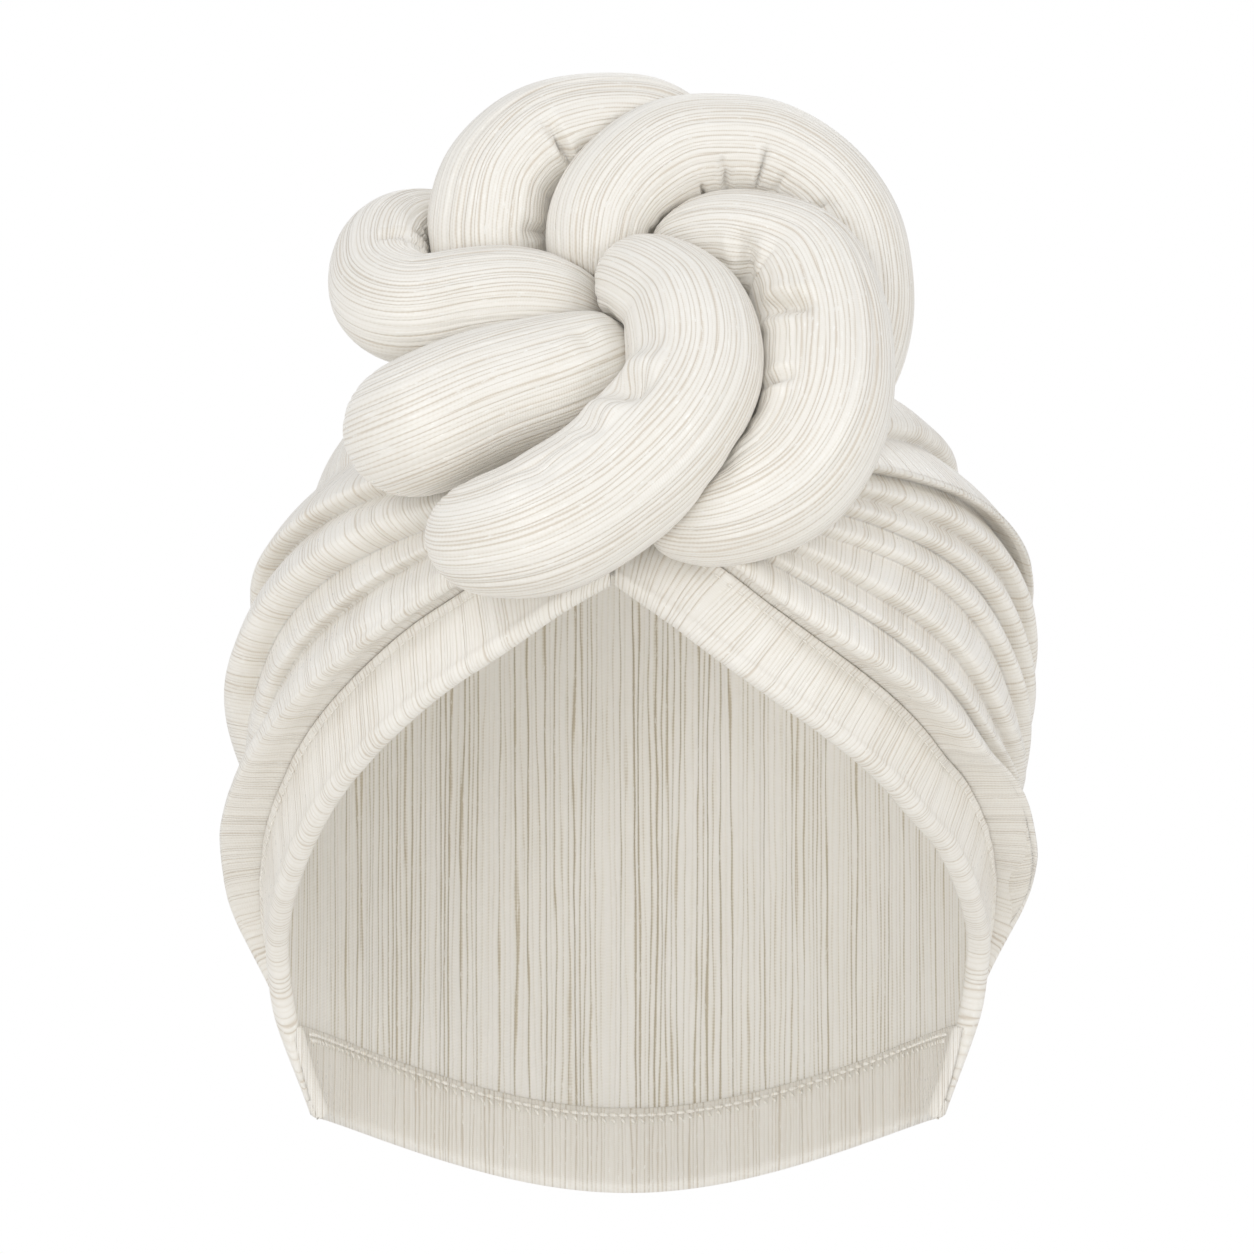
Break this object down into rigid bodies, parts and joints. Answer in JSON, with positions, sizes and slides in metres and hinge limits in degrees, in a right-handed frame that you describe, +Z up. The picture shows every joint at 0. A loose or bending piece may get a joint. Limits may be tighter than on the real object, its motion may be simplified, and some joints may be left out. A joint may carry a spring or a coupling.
{
  "type": "knot turban hat",
  "caption": "Cream ribbed cloth turban hat with pleated side wraps, a pointed face opening and a big stuffed knot in front.",
  "frame": {"origin": "inside of the crown, where the top of the head touches the cap", "axes": "+Z up, the face looks along -Y, +X is the right side as seen from the front"},
  "size_m": [0.2013, 0.2366, 0.2796],
  "materials": {
    "outer_cloth": "ribbed satin weave",
    "inner_cloth": "ribbed weave"
  },
  "bodies": {
    "root": {"crown_cap": "inner_cloth", "nape_hem": "inner_cloth", "left_edge_band": "outer_cloth", "right_edge_band": "outer_cloth", "left_wrap": "outer_cloth", "right_wrap": "outer_cloth", "knot_front_roll": "outer_cloth", "knot_lower_left_roll": "outer_cloth", "knot_upper_left_roll": "outer_cloth", "knot_top_left_roll": "outer_cloth", "knot_arch_roll": "outer_cloth", "knot_right_roll": "outer_cloth"}
  },
  "joints": []
}
